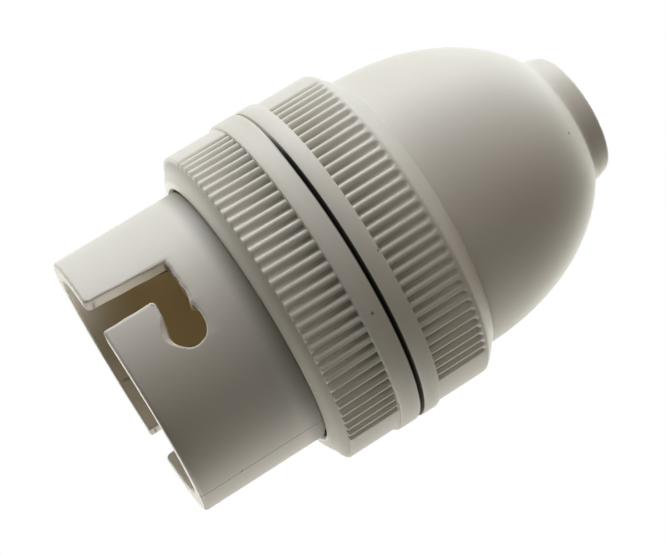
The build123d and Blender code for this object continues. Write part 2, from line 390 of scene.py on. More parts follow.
@dataclass(frozen=True)
class MouldedPlastic:
    """Injection-moulded urea plastic: a satin skin with faint flow mottling and a fine grain."""

    name: str
    colour: str = "#E9E5DA"
    shade: str = "#E1DCCE"
    roughness: float = 0.5
    grain_mm: float = 0.25
    grain_height_mm: float = 0.004
    mottle_mm: float = 9.0
    bore: PaintedBoreShade | None = None
    specks: tuple[Speck, ...] = ()
    painted_shade: tuple[PaintedShade, ...] = ()
    seam: Seam | None = None

    def material(self) -> bpy.types.Material:
        """Build the plastic's material and return it."""
        sheet = NodeSheet(self.name)
        place = sheet.add("ShaderNodeTexCoord").outputs["Object"]
        # Slow changes of tone where the melt flowed, a few millimetres across
        mottle = sheet.add(
            "ShaderNodeTexNoise",
            {"Vector": place, "Scale": 1 / (self.mottle_mm * MM), "Detail": 3.0, "Roughness": 0.55},
        )
        tone = sheet.add(
            "ShaderNodeMix",
            {0: mottle.outputs["Fac"], 6: linear(self.colour), 7: linear(self.shade)},
            data_type="RGBA",
        )
        colour = tone.outputs[2]
        # Painted warm shade and glow in the bore
        if self.bore:
            colour = self.paint_bore_shade(sheet, place, colour)
        # Painted shade in corners, grooves and gaps
        for painted_shade in self.painted_shade:
            colour = self.paint_shade(sheet, place, colour, painted_shade)
        if self.seam:
            colour = self.seamed(sheet, place, colour)
        for speck in self.specks:
            gap = sheet.add("ShaderNodeVectorMath", {0: place, 1: speck.place()}, operation="DISTANCE")
            edge = sheet.add(
                "ShaderNodeMapRange",
                {
                    "Value": gap.outputs["Value"],
                    "From Min": speck.size * MM * speck.fade[0],
                    "From Max": speck.size * MM * speck.fade[1],
                    "To Min": speck.strength,
                    "To Max": 0.0,
                },
            )
            colour = sheet.add(
                "ShaderNodeMix",
                {0: edge.outputs["Result"], 6: colour, 7: linear(DUST)},
                data_type="RGBA",
            ).outputs[2]
        sheet.links.new(colour, sheet.shader.inputs["Base Color"])
        # The mould's spark-eroded grain, drawn just coarse enough to catch the light
        grain = sheet.add(
            "ShaderNodeTexNoise",
            {"Vector": place, "Scale": 1 / (self.grain_mm * MM), "Detail": 4.0, "Roughness": 0.6},
        )
        bump = sheet.add(
            "ShaderNodeBump",
            {"Height": grain.outputs["Fac"], "Strength": 0.35, "Distance": self.grain_height_mm * MM},
        )
        sheet.links.new(bump.outputs["Normal"], sheet.shader.inputs["Normal"])
        sheet.shader.inputs["Roughness"].default_value = self.roughness
        sheet.shader.inputs["IOR"].default_value = 1.5
        return sheet.material

    @staticmethod
    def radius_of(sheet: NodeSheet, place: bpy.types.NodeSocket) -> bpy.types.NodeSocket:
        """Return the socket of the distance from the axis."""
        level = sheet.add("ShaderNodeVectorMath", {0: place, 1: (1, 1, 0)}, operation="MULTIPLY")
        return sheet.add("ShaderNodeVectorMath", {0: level.outputs[0]}, operation="LENGTH").outputs["Value"]

    def paint_shade(
        self, sheet: NodeSheet, place: bpy.types.NodeSocket, colour: bpy.types.NodeSocket, painted_shade: PaintedShade
    ) -> bpy.types.NodeSocket:
        """Darken the colour where one band of painted shade lies.

        Args:
            sheet: The material's nodes.
            place: The Object coordinates.
            colour: The plastic's colour so far.
            painted_shade: The band of painted shade.

        Returns:
            The socket of the darkened colour.
        """
        parts = sheet.add("ShaderNodeSeparateXYZ", {0: place})
        height = parts.outputs["Z"]
        ramps = [(self.radius_of(sheet, place), painted_shade.radius), (height, painted_shade.height), (height, painted_shade.top)]
        ramps += [(parts.outputs["X"], painted_shade.side), (self.radius_of(sheet, place), painted_shade.beyond)]
        share = None
        for value, span in ramps:
            if span is None:
                continue
            full, none = span
            ramp = sheet.add(
                "ShaderNodeMapRange",
                {
                    "Value": value,
                    "From Min": min(span) * MM,
                    "From Max": max(span) * MM,
                    "To Min": 1.0 if full < none else 0.0,
                    "To Max": 0.0 if full < none else 1.0,
                },
                interpolation_type="SMOOTHSTEP",
            ).outputs["Result"]
            other = painted_shade.strength if share is None else share
            share = sheet.add("ShaderNodeMath", {0: ramp, 1: other}, operation="MULTIPLY").outputs[0]
        return sheet.add(
            "ShaderNodeMix", {0: share, 6: colour, 7: linear(painted_shade.colour)}, data_type="RGBA"
        ).outputs[2]

    def seamed(
        self, sheet: NodeSheet, place: bpy.types.NodeSocket, colour: bpy.types.NodeSocket
    ) -> bpy.types.NodeSocket:
        """Draw the parting line's dust down the side, front and back.

        Args:
            sheet: The material's nodes.
            place: The Object coordinates.
            colour: The plastic's colour so far.

        Returns:
            The socket of the colour with its line.
        """
        turn = math.radians(self.seam.turn)
        parts = sheet.add("ShaderNodeSeparateXYZ", {0: place})
        depth = sheet.add("ShaderNodeMath", {0: parts.outputs["Y"]}, operation="ABSOLUTE")
        across = sheet.add("ShaderNodeMath", {0: parts.outputs["X"], 1: math.cos(turn)}, operation="MULTIPLY")
        gap = sheet.add("ShaderNodeMath", {0: depth.outputs[0], 1: math.sin(turn)}, operation="MULTIPLY")
        off = sheet.add("ShaderNodeMath", {0: across.outputs[0], 1: gap.outputs[0]}, operation="SUBTRACT")
        near = sheet.add("ShaderNodeMath", {0: off.outputs[0]}, operation="ABSOLUTE")
        line = sheet.add(
            "ShaderNodeMapRange",
            {
                "Value": near.outputs[0],
                "From Min": self.seam.width * MM * self.seam.fade[0],
                "From Max": self.seam.width * MM * self.seam.fade[1],
                "To Min": self.seam.strength,
                "To Max": 0.0,
            },
        )
        share = line.outputs["Result"]
        # The line ends under the ring and lies on the outside alone
        for value, limit, test in (
            (parts.outputs["Z"], self.seam.below, "LESS_THAN"),
            (self.radius_of(sheet, place), self.seam.skin, "GREATER_THAN"),
        ):
            within = sheet.add("ShaderNodeMath", {0: value, 1: limit * MM}, operation=test).outputs[0]
            share = sheet.add("ShaderNodeMath", {0: share, 1: within}, operation="MULTIPLY").outputs[0]
        return sheet.add(
            "ShaderNodeMix", {0: share, 6: colour, 7: linear(DUST)}, data_type="RGBA"
        ).outputs[2]

    def paint_bore_shade(
        self, sheet: NodeSheet, place: bpy.types.NodeSocket, colour: bpy.types.NodeSocket
    ) -> bpy.types.NodeSocket:
        """Paint a warm shade on the plastic towards the axis, so that the bore shows a painted olive-brown
        glow and shade behind its slots.

        Args:
            sheet: The material's nodes.
            place: The Object coordinates.
            colour: The plastic's colour outside.

        Returns:
            The socket of the mixed colour.
        """
        height = sheet.add("ShaderNodeSeparateXYZ", {0: place}).outputs["Z"]
        # Only the slots' far walls are painted brown through their whole thickness
        shift = sheet.add(
            "ShaderNodeMapRange",
            {
                "Value": height,
                "From Min": (self.bore.slot_end - self.bore.wall_start[0]) * MM,
                "From Max": (self.bore.slot_end - self.bore.wall_start[1]) * MM,
                "To Max": (self.bore.skin - self.bore.outside) * MM,
            },
        )
        radius = self.radius_of(sheet, place)
        inner = sheet.add("ShaderNodeMath", {0: radius, 1: shift.outputs["Result"]}, operation="SUBTRACT")
        depth = sheet.add(
            "ShaderNodeMapRange",
            {
                "Value": inner.outputs[0],
                "From Min": self.bore.inside * MM,
                "From Max": self.bore.outside * MM,
                "To Min": 1.0,
                "To Max": 0.0,
            },
            interpolation_type="SMOOTHSTEP",
        )
        mouth = sheet.add(
            "ShaderNodeMapRange",
            {"Value": height, "From Max": self.bore.mouth_fade * MM},
            interpolation_type="SMOOTHSTEP",
        )
        warm = sheet.add(
            "ShaderNodeMath", {0: depth.outputs["Result"], 1: mouth.outputs["Result"]}, operation="MULTIPLY"
        )
        return sheet.add(
            "ShaderNodeMix", {0: warm.outputs[0], 6: colour, 7: linear(self.bore.colour)}, data_type="RGBA"
        ).outputs[2]


@dataclass(frozen=True)
class TurnedMetal:
    """Bar-turned metal: fine rings from the tool and a slightly dulled skin."""

    name: str
    colour: str
    tarnish: str
    roughness: float = 0.28
    ring_mm: float = 0.18

    def material(self) -> bpy.types.Material:
        """Build the metal's material and return it."""
        sheet = NodeSheet(self.name)
        place = sheet.add("ShaderNodeTexCoord").outputs["Object"]
        # Handling dulls the metal in soft patches about two millimetres across
        patches = sheet.add("ShaderNodeTexNoise", {"Vector": place, "Scale": 1 / (2 * MM), "Detail": 4.0})
        tone = sheet.add(
            "ShaderNodeMix",
            {0: patches.outputs["Fac"], 6: linear(self.colour), 7: linear(self.tarnish)},
            data_type="RGBA",
        )
        sheet.links.new(tone.outputs[2], sheet.shader.inputs["Base Color"])
        rings = sheet.add(
            "ShaderNodeTexWave",
            {"Vector": place, "Scale": 1 / (self.ring_mm * MM * 20), "Distortion": 0.4, "Detail": 1.0},
            wave_type="BANDS",
            bands_direction="Z",
        )
        bump = sheet.add(
            "ShaderNodeBump",
            {"Height": rings.outputs["Fac"], "Strength": 0.2, "Distance": 0.01 * MM},
        )
        sheet.links.new(bump.outputs["Normal"], sheet.shader.inputs["Normal"])
        wear = sheet.add(
            "ShaderNodeMapRange",
            {
                "Value": patches.outputs["Fac"],
                "To Min": self.roughness * 0.8,
                "To Max": self.roughness * 1.4,
            },
        )
        sheet.links.new(wear.outputs["Result"], sheet.shader.inputs["Roughness"])
        sheet.shader.inputs["Metallic"].default_value = 1.0
        return sheet.material


@dataclass
class Flutes:
    """The rounded grooves of a grip, cut in two runs that leave the sides plain.

    Each groove runs straight into the flange at its foot, gets shallower along its length, and either
    runs out at its end or stops there in a rounded scallop.
    """

    per_turn: int = 92
    count: int = 33
    first_turn: float = -64.7
    half_width: float = 0.55
    depth: float = 0.55
    fade: float = 0.4
    foot: float = 19.57
    end: float = 14.35
    sharpness: float = 1.3
    open_end: bool = True
    samples: int = 12
    end_rows: tuple[float, ...] = (1.1, 0.85, 0.65, 0.5, 0.37, 0.26, 0.17, 0.09, 0.04)

    def steps(self) -> int:
        """Return how many steps a turned grip needs for these flutes."""
        return self.per_turn * self.samples

    def heights(self) -> list[float]:
        """Lay out the rows that draw a groove's length.

        Returns:
            Their heights in millimetres, the ones at the groove's end close together.
        """
        length = self.end - self.foot
        way = math.copysign(1.0, length)
        ends = [self.end - way * short for short in self.end_rows]
        return [self.foot + way * 0.02, self.foot + length / 2] + ends

    def cut(self, radius: np.ndarray, turn: np.ndarray, height: np.ndarray, grip_r: float) -> np.ndarray:
        """Work out how deep the flutes are.

        Args:
            radius: Each point's radius in millimetres.
            turn: Its turn in degrees.
            height: Its height in millimetres.
            grip_r: The grip's radius before it is cut.

        Returns:
            The depth at each point, in millimetres.
        """
        pitch = 360 / self.per_turn
        along = np.clip((height - self.foot) / (self.end - self.foot), 0, 1)
        left = np.clip((1 - along) * abs(self.end - self.foot), 0, self.half_width)
        half = np.sqrt(np.maximum(self.half_width ** 2 - (self.half_width - left) ** 2, 1e-9))
        if self.open_end:
            half = np.full_like(half, self.half_width)
        depth = np.zeros_like(radius)
        for side in (0, 180):
            place = (turn - side - self.first_turn + 180) % 360 - 180
            place = np.where(place < -pitch, place + 360, place)
            index = np.round(place / pitch)
            inside = (index >= 0) & (index < self.count) & (radius > grip_r - 0.02)
            across = np.abs(place - index * pitch) * math.radians(1) * grip_r
            share = (0.5 + 0.5 * np.cos(math.pi * np.clip(across / half, 0, 1))) ** self.sharpness
            share = share * (1 - self.fade * along)
            if not self.open_end:
                share = share * smooth_step(0, self.half_width * 1.2, left)
            depth = np.where(inside, np.maximum(depth, self.depth * share), depth)
        return depth


@dataclass
class Thread:
    """A rounded screw thread, left as relief in the face it is cut in."""

    pitch: float = 2.0
    depth: float = 0.42

    def wave(self, turn: np.ndarray, height: np.ndarray) -> np.ndarray:
        """Work out where the thread is cut.

        Args:
            turn: Each point's turn in degrees.
            height: Its height in millimetres.

        Returns:
            1 in the thread's bottom and 0 at its crest.
        """
        phase = (height / self.pitch - turn / 360) % 1.0
        return smooth_step(0.1, 0.42, np.abs(phase - 0.5) * 2)


@dataclass
class Barrel:
    """The slotted tube that the lamp cap goes into, with the thread for the ring and the cap."""

    radius: float = 13.75
    mouth_bore: float = 11.6
    throat_bore: float = 11.3
    ledge_bore: float = 10.4
    interior_bore: float = 11.7
    mouth_depth: float = 9.0
    ledge_low: float = 12.8
    ledge_high: float = 13.8
    relief_low: float = 13.2
    thread_low: float = 14.0
    height: float = 29.0
    relief_depth: float = 0.45
    columns: int = 240
    middle_turn: float = 70.5
    pull_turn: float = -19.0
    slot_entry_x: float = -2.51
    slot_entry_width: float = 2.97
    slot_end: float = 8.12
    slot_travel: float = 5.21
    entry_flare: float = 0.35
    seat_radius: float = 1.67
    corner_round: float = 0.35
    tongue_round: float = 0.45
    tip_round: float = 0.36
    mouth_round: float = 0.55
    edge_round: float = 0.3
    facet: float = 0.42
    flash_pitch: float = 0.22
    flash_height: float = 0.045
    parting_turn: float = 60.3
    parting_width: float = 0.4
    parting_step: float = 0.05
    parting_notch: float = 0.04
    nib: Outline = ((0.35, 0.0), (0.52, 0.06), (0.7, 0.19), (0.9, 0.27), (1.1, 0.2), (1.3, 0.09), (1.55, 0.02))
    tongue: Outline = ((2.1, 4.86), (1.6, 4.96), (1.1, 5.06), (0.6, 5.14), (0.1, 5.2))
    tongue_end: float = 5.24
    slot_spread: float = 30.0
    pull_fade: Span = (26.0, 44.0)
    pull_end: Span = (8.5, 9.0)
    facet_band: Span = (4.3, 5.6)
    facet_rise: Span = (0.5, 1.7)
    facet_fall: Span = (2.6, 4.0)
    facet_skin: float = 0.24
    pocket_growth: float = 0.42
    pocket_side: Span = (1.0, 1.6)
    pocket_band: Span = (5.6, 7.4)
    pocket_top: float = 8.6
    thread: Thread = field(default_factory=Thread)

    def slot_outline(self) -> list[tuple[float, float]]:
        """Draw one slot on the core's flat face.

        Returns:
            Across and height of each corner in millimetres, from the left of its mouth to the right.
        """
        left = self.slot_entry_x - self.slot_entry_width / 2
        right = left + self.slot_entry_width
        seat_x = self.slot_entry_x + self.slot_travel
        seat_z = self.slot_end - self.seat_radius
        mouth_left = left - self.entry_flare
        top_left = left + self.entry_flare / 2
        mouth, corner, tongue, tip = self.mouth_round, self.corner_round, self.tongue_round, self.tip_round
        points = arc((mouth_left - mouth, mouth), (mouth, mouth), -90, 0, 5)
        points += arc((top_left + corner, self.slot_end - corner), (corner, corner), 180, 90, 4)
        # The nib holds the lamp's pin in its seat
        points += [(x, self.slot_end - drop) for x, drop in self.nib]
        points += arc((seat_x, seat_z), (self.seat_radius, self.seat_radius), 90, -90, 24)
        # The tongue's end rises from the seat to its rounded corner
        points += self.tongue
        points += arc((right + tongue, self.tongue_end - tongue), (tongue, tongue), 90, 180, 5)
        points += arc((right + tip, tip), (tip, tip), 180, 270, 4)
        return self.ragged(points)

    def ragged(self, points: list[tuple[float, float]]) -> list[tuple[float, float]]:
        """Divide an outline and make it slightly uneven, as trimmed flash leaves it.

        Args:
            points: The smooth outline.

        Returns:
            The uneven outline, in steps of about the flash's pitch.
        """
        rough = []
        for here, there in zip(points, points[1:]):
            length = math.dist(here, there)
            count = max(1, round(length / self.flash_pitch))
            side = ((here[1] - there[1]) / length, (there[0] - here[0]) / length)
            for step in range(count):
                share = step / count
                x = here[0] + (there[0] - here[0]) * share
                z = here[1] + (there[1] - here[1]) * share
                wave = math.sin(9.1 * x + 5.3 * z) * math.sin(8.3 * z - 4.1 * x + 1.3)
                height = 2.2 if z > 7.7 and x < 0.4 else 1.6 if z < 5.3 and x > 0.3 else 1.0
                shift = self.flash_height * height * wave * (0.0 if z < 1.0 else 1.0)
                rough.append((x + side[0] * shift, z + side[1] * shift))
        rough.append(points[-1])
        return rough

    def arc_of(self, turn: float) -> float:
        """Return how far along the unrolled wall a turn lies; its two ends meet between the slots."""
        return math.radians((turn - self.middle_turn + 180) % 360 - 180) * self.radius

    def wall_outline(self) -> list[tuple[float, float]]:
        """Draw the unrolled lower wall with its slots.

        Returns:
            Arc length from the wall's middle and height of each corner, in millimetres.
        """
        half_round = math.pi * self.radius
        outline = [(-half_round, self.thread_low), (-half_round, 0.0)]
        slots = []
        for side in (0, 180):
            for x, z in self.slot_outline():
                turn = self.pull_turn + side + math.degrees(math.asin(x / self.radius))
                slots.append((self.arc_of(turn), z))
        size = len(slots) // 2
        for one in sorted((slots[:size], slots[size:]), key=lambda points: points[0][0]):
            outline.extend(one)
        outline += [(half_round, 0.0), (half_round, self.thread_low)]
        return outline

    def sheet(self) -> bpy.types.Object:
        """Build the lower wall flat, with rounded slot edges, and divide it so that it can be rolled.

        Returns:
            The flat wall, its outer face at the front.
        """
        outline = self.wall_outline()
        piece = MeshBench.drawn(outline + outline[:1])
        bpy.ops.mesh.edge_face_add()
        wall = self.radius - self.mouth_bore
        bpy.ops.mesh.extrude_region_move(TRANSFORM_OT_translate={"value": (0, wall * MM, 0)})
        bpy.ops.mesh.select_all(action="SELECT")
        bpy.ops.mesh.normals_make_consistent(inside=False)
        self.select_rim_edges(piece)
        bpy.ops.mesh.bevel(offset=self.edge_round * MM, segments=3, clamp_overlap=False)
        for index in range(1, self.columns):
            self.slice(((index / self.columns - 0.5) * TURN * self.radius, 0), (1, 0), snap=0.1)
        for line in self.parting_lines():
            for shift in (-0.5, 0, 0.5):
                self.slice((self.arc_of(line + shift * self.parting_width), 0), (1, 0))
        for height in (
            self.mouth_depth, self.ledge_low - 0.3, self.ledge_low - 0.06, self.ledge_low,
            self.relief_low - 0.01, self.relief_low + 0.05, self.ledge_high - 0.02, self.ledge_high,
        ):
            self.slice((0, height), (0, 1))
        bpy.ops.object.mode_set(mode="OBJECT")
        return piece

    def select_rim_edges(self, piece: bpy.types.Object) -> None:
        """Select the edges of the mouth and the slots on both faces of the flat wall.

        Args:
            piece: The flat wall, in edit mode.
        """
        bpy.ops.mesh.select_all(action="DESELECT")
        bpy.ops.object.mode_set(mode="OBJECT")
        half_round = math.pi * self.radius - 0.01
        points = piece.data.vertices
        for edge in piece.data.edges:
            ends = [points[i].co / MM for i in edge.vertices]
            level = abs(ends[0].y - ends[1].y) < 0.01
            low = max(end.z for end in ends) < self.thread_low - 0.01
            inner = not all(abs(end.x) > half_round for end in ends)
            edge.select = level and low and inner
        bpy.ops.object.mode_set(mode="EDIT")

    @staticmethod
    def slice(place: tuple[float, float], normal: tuple[float, float], snap: float = 0.008) -> None:
        """Divide the whole flat wall along one straight line.

        Args:
            place: A point on the line, along and up, in millimetres.
            normal: The line's normal.
            snap: How near, in millimetres, a corner counts as on the line.
        """
        bpy.ops.mesh.select_all(action="SELECT")
        bpy.ops.mesh.bisect(
            plane_co=(place[0] * MM, 0, place[1] * MM),
            plane_no=(normal[0], 0, normal[1]),
            threshold=snap * MM,
        )

    def parting_lines(self) -> tuple[float, ...]:
        """Return the turns at which the mould's parts meet."""
        return (self.parting_turn, 180 - self.parting_turn, -self.parting_turn, self.parting_turn - 180)

    def bore_at(self, height: np.ndarray) -> np.ndarray:
        """Work out the lower wall's inner radius.

        Args:
            height: Each point's height in millimetres.

        Returns:
            The stepped bore's radius at each point.
        """
        steps = (
            (self.mouth_depth, self.ledge_low - 0.3, self.mouth_bore, self.throat_bore),
            (self.ledge_low - 0.06, self.ledge_low, self.throat_bore, self.ledge_bore),
            (self.ledge_high - 0.02, self.ledge_high, self.ledge_bore, self.interior_bore),
        )
        bore = np.full_like(height, self.mouth_bore)
        for low, high, before, after in steps:
            share = np.clip((height - low) / (high - low), 0, 1)
            bore = np.where(height >= low, before + (after - before) * share, bore)
        return bore

    def roll(self, piece: bpy.types.Object) -> None:
        """Roll the flat wall up, with slot walls that stay parallel to the core's pull.

        Args:
            piece: The flat wall.
        """
        mesh = piece.data
        points = np.empty(len(mesh.vertices) * 3)
        mesh.vertices.foreach_get("co", points)
        points = points.reshape(-1, 3) / MM
        arc, depth, height = points.T
        wall = self.radius - self.mouth_bore
        share = np.clip(depth / wall, 0, 1)
        outer = np.full_like(height, self.radius)
        outer -= self.relief_depth * np.clip((height - self.relief_low) / 0.05, 0, 1)
        turn = (np.degrees(arc / self.radius) + self.middle_turn + 180) % 360 - 180
        beyond = smooth_step(self.parting_turn, self.parting_turn + self.parting_width / 2, np.abs(turn))
        behind = 180 - self.parting_turn
        beyond *= 1 - smooth_step(behind - self.parting_width / 2, behind, np.abs(turn))
        outer -= self.parting_step * beyond * (height < self.relief_low)
        for line in self.parting_lines():
            notch = np.clip(1 - np.abs(turn - line) / (self.parting_width / 2), 0, 1)
            outer -= self.parting_notch * notch * (height < self.relief_low)
        radius = outer + (self.bore_at(height) - outer) * share
        near = (turn - self.pull_turn + 90) % 180 - 90
        # A bright facet where the core left the pocket's floor, and a pocket that widens inwards
        along = self.radius * np.sin(np.radians(near))
        at_slot = np.abs(near) < self.slot_spread
        floor = (height > self.facet_band[0]) & (height < self.facet_band[1]) & at_slot
        bump = smooth_step(*self.facet_rise, along) * (1 - smooth_step(*self.facet_fall, along))
        height = height - self.facet * bump * floor * (1 - smooth_step(0.0, self.facet_skin, share))
        pocket = smooth_step(*self.pocket_side, along) * smooth_step(*self.pocket_band, height)
        height = height + self.pocket_growth * share * pocket * at_slot * (height < self.pocket_top)
        pulled = np.degrees(np.arcsin(np.clip(self.radius * np.sin(np.radians(near)) / radius, -1, 1)))
        hold = (1 - smooth_step(*self.pull_fade, np.abs(near))) * (1 - smooth_step(*self.pull_end, height))
        turn = turn + (pulled - near) * hold
        height = np.maximum(height, 0)
        column = 360 / self.columns
        turn = np.where(height > self.thread_low - 0.01, np.round(turn / column) * column, turn)
        angle = np.radians(turn)
        moved = np.column_stack((radius * np.sin(angle), -radius * np.cos(angle), height)) * MM
        mesh.vertices.foreach_set("co", moved.ravel())
        mesh.update()

    def open_ends(self, piece: bpy.types.Object) -> None:
        """Take away the flat wall's two ends and its top, where it closes on itself and goes on up.

        Args:
            piece: The flat wall.
        """
        MeshBench.take(piece)
        bpy.ops.object.mode_set(mode="EDIT")
        bpy.ops.mesh.select_all(action="DESELECT")
        bpy.ops.object.mode_set(mode="OBJECT")
        half_round = math.pi * self.radius
        for face in piece.data.polygons:
            centre = face.center / MM
            end = abs(abs(centre.x) - half_round) < 0.001 or abs(centre.z - self.thread_low) < 0.001
            face.select = end
        bpy.ops.object.mode_set(mode="EDIT")
        bpy.ops.mesh.select_mode(type="FACE")
        bpy.ops.mesh.delete(type="FACE")
        bpy.ops.mesh.select_mode(type="VERT")
        bpy.ops.object.mode_set(mode="OBJECT")

    def threaded_part(self) -> bpy.types.Object:
        """Turn the hidden upper part and cut its thread.

        Returns:
            The threaded part, open where the lower wall joins it.
        """
        rows = 72
        root = self.radius - self.relief_depth
        outline = [(self.interior_bore, self.thread_low), (self.interior_bore, self.height)]
        outline += [(self.radius - 0.3, self.height), (self.radius, self.height - 0.3)]
        outline += rows_down(self.radius, self.height - 0.5, self.thread_low + 0.1, rows)
        outline += [(root, self.thread_low)]
        piece = MeshBench.turned("barrel_thread", outline, self.columns, closed=False)

        def cut(radius: np.ndarray, turn: np.ndarray, height: np.ndarray) -> tuple:
            """Cut the thread into the outside.

            Args:
                radius: Each point's radius in millimetres.
                turn: Its turn in degrees.
                height: Its height in millimetres.

            Returns:
                The new radius, turn and height.
            """
            inside = (radius > self.radius - 0.01) & (height < self.height - 0.4)
            return radius - self.thread.depth * self.thread.wave(turn, height) * inside, turn, height

        MeshBench.reshape(piece, cut)
        return piece

    def build(self) -> bpy.types.Object:
        """Build the whole barrel.

        Returns:
            The finished barrel.
        """
        lower = self.sheet()
        self.open_ends(lower)
        self.roll(lower)
        piece = MeshBench.join([lower, self.threaded_part()], "barrel_moulding")
        MeshBench.smooth(piece, 30)
        # The wide faces set the shading of the narrow rounding beside them
        weighting = piece.modifiers.new("weighting", "WEIGHTED_NORMAL")
        weighting.keep_sharp = True
        bpy.ops.object.modifier_apply(modifier=weighting.name)
        return piece


@dataclass
class ShadeRing:
    """The ribbed ring that screws up the barrel to clamp a shade."""

    bore: float = 13.83
    mouth_r: float = 14.85
    bead_r: float = 16.25
    grip_r: float = 16.8
    flange_r: float = 17.1
    mouth: float = 13.2
    grip_low: float = 14.3
    grip_high: float = 19.57
    top: float = 21.82
    edge: float = 0.22
    bow: float = 0.26
    bow_turn: float = -100.0
    bow_fade: Span = (35.0, 75.0)
    lip: Outline = ((-0.12, 0.0), (0.02, 0.05), (0.16, 0.14))
    bead: Outline = ((15.45, 13.58), (15.85, 13.85), (16.12, 14.05), (16.25, 14.18), (16.29, 14.22))
    flutes: Flutes = field(default_factory=Flutes)
    thread: Thread = field(default_factory=Thread)

    def outline(self) -> list[tuple[float, float]]:
        """Draw the ring's section.

        Returns:
            Radius and height of each corner, from the bore's foot round the outside and down the bore.
        """
        points = [(self.bore + 0.25, self.mouth)]
        points += [(self.mouth_r + out, self.mouth + up) for out, up in self.lip]
        points += self.bead
        points += [(self.grip_r - 0.12, self.grip_low - 0.04), (self.grip_r - 0.03, self.grip_low)]
        points += [(self.grip_r, height) for height in sorted(self.flutes.heights())]
        points += [(self.grip_r, self.grip_high)]
        points += flange(self.flange_r, self.grip_high, self.top, self.edge)
        points += [(self.bore + 0.3, self.top)]
        points += rows_down(self.bore, self.top - 0.3, self.mouth + 0.3, 18)
        return points

    def build(self) -> bpy.types.Object:
        """Turn the ring, then cut its flutes and its thread.

        Returns:
            The finished ring.
        """
        piece = MeshBench.turned(
            "shade_ring_moulding", self.outline(), self.flutes.steps(), sectors=self.flutes.per_turn
        )

        def cut(radius: np.ndarray, turn: np.ndarray, height: np.ndarray) -> tuple:
            """Cut the flutes into the grip and the thread into the bore, and bow the top.

            Args:
                radius: Each point's radius in millimetres.
                turn: Its turn in degrees.
                height: Its height in millimetres.

            Returns:
                The new radius, turn and height.
            """
            on_grip = (height > self.grip_low - 0.09) & (height < self.grip_high + 0.001)
            on_grip &= radius > self.bead_r + 0.1
            depth = self.flutes.cut(np.maximum(radius, self.grip_r), turn, height, self.grip_r) * on_grip
            depth = np.minimum(depth, np.maximum(radius - self.bead_r - 0.02, 0))
            in_bore = (radius < self.bore + 0.01) & (height > self.mouth + 0.35) & (height < self.top - 0.35)
            relief = self.thread.depth * self.thread.wave(turn, height) * in_bore
            near = np.abs((turn - self.bow_turn + 180) % 360 - 180)
            lift = self.bow * (1 - smooth_step(*self.bow_fade, near))
            return radius - depth + relief, turn, height + lift * smooth_step(self.top - 0.3, self.top, height)

        MeshBench.reshape(piece, cut)
        MeshBench.smooth(piece, 40)
        return piece


